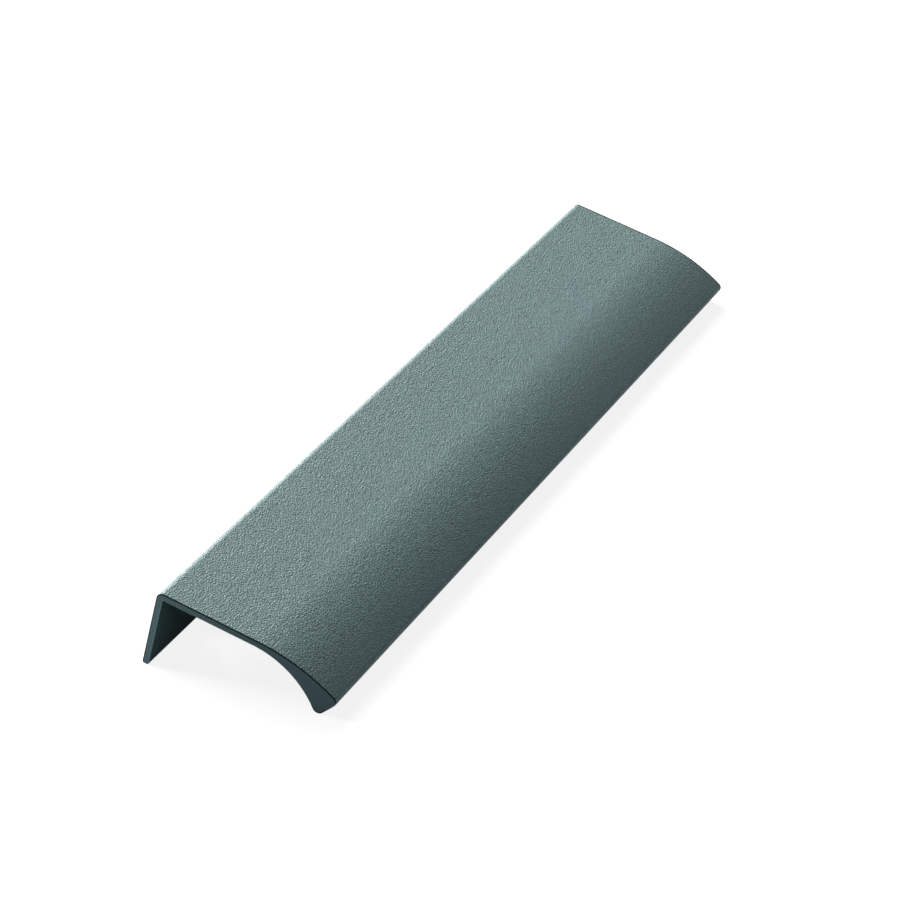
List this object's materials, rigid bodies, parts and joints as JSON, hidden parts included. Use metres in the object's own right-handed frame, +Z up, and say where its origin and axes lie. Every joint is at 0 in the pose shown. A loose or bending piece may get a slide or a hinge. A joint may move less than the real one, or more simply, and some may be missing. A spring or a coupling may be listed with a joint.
{
  "type": "edge pull",
  "caption": "Edge pull for a door or drawer: an extruded profile whose flange screws behind the panel, plate covers its edge and curved lip takes the fingers.",
  "frame": {"origin": "centre of the footprint on the floor that the unmounted pull rests on, at mid length", "axes": "+X along the length, +Y towards the flange that goes behind the panel, +Z up; the lip faces -Y"},
  "size_m": [0.2, 0.0424, 0.0171],
  "materials": {
    "powder_coat": "matte"
  },
  "bodies": {
    "root": {"pull_profile": "powder_coat"}
  },
  "joints": []
}
